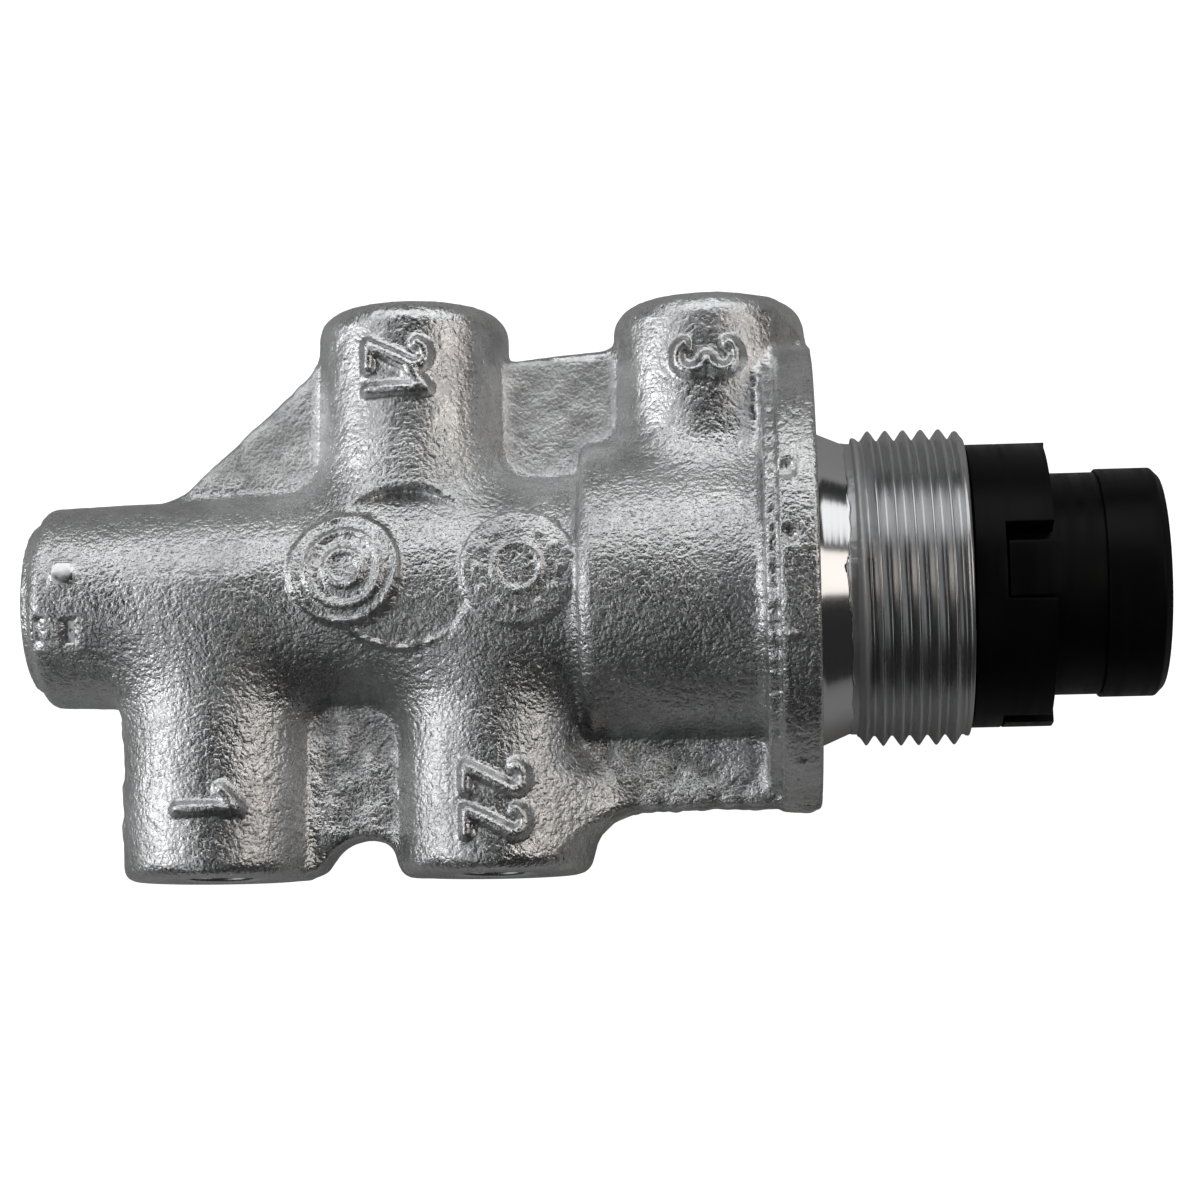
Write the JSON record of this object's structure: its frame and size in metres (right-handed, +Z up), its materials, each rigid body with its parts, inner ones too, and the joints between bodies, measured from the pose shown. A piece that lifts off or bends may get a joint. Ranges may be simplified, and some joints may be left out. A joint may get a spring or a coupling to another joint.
{
  "type": "solenoid directional valve",
  "caption": "Cast spool valve with side ports on round bosses, a round flange with a threaded neck, and a stepped round electrical connector.",
  "frame": {"origin": "bottom centre of the bounding box, the valve lying on its side with the spool axis level", "axes": "+X along the spool axis towards the connector, +Y towards ports 21 and 3, +Z up, away from the surface it lies on"},
  "size_m": [0.1292, 0.065, 0.052],
  "materials": {
    "cast_body": "as-cast, grainy",
    "machined_aluminium": "turned",
    "steel": "bright",
    "soft_iron": "satin",
    "copper_wire": "enamelled copper",
    "brass": "turned",
    "contact_metal": "plated",
    "black_plastic": "satin, moulded",
    "inner_plastic": "moulded",
    "rubber": "matt"
  },
  "bodies": {
    "housing": {"valve_body": "cast_body", "end_cap": "machined_aluminium", "end_cap_seal": "rubber", "end_cap_circlip": "steel", "override_pin_seal": "rubber", "return_spring": "steel", "spool_guide": "brass", "guide_tube": "brass", "pole_core": "soft_iron", "yoke_plate": "soft_iron", "yoke_shell": "soft_iron", "solenoid_seal": "rubber", "coil_bobbin": "inner_plastic", "coil_winding": "copper_wire", "coil_lead_1": "copper_wire", "coil_lead_2": "copper_wire", "connector_base": "black_plastic", "connector_sleeve": "black_plastic", "connector_seal": "rubber", "connector_circlip": "steel", "pin_carrier": "inner_plastic", "contact_pin_1": "contact_metal", "contact_pin_2": "contact_metal"},
    "spool_group": {"spool": "machined_aluminium", "spool_seal_1": "rubber", "spool_seal_2": "rubber", "spool_seal_3": "rubber", "spool_seal_4": "rubber", "override_pin": "steel", "armature": "soft_iron"},
    "collar": {"locking_collar": "black_plastic"}
  },
  "joints": [
    {"name": "spool_slide", "type": "slide", "parent": "housing", "child": "spool_group", "axis": [1, 0, 0], "range_m": [0, 0.004], "stiffness_N_per_m": 400, "springref_m": -0.01, "deforming": ["return_spring"]},
    {"name": "collar_turn", "type": "hinge", "parent": "housing", "child": "collar", "pos_m": [0.0469, -0.00075, 0.026], "axis": [1, 0, 0], "range_deg": [0, 6.5]}
  ]
}
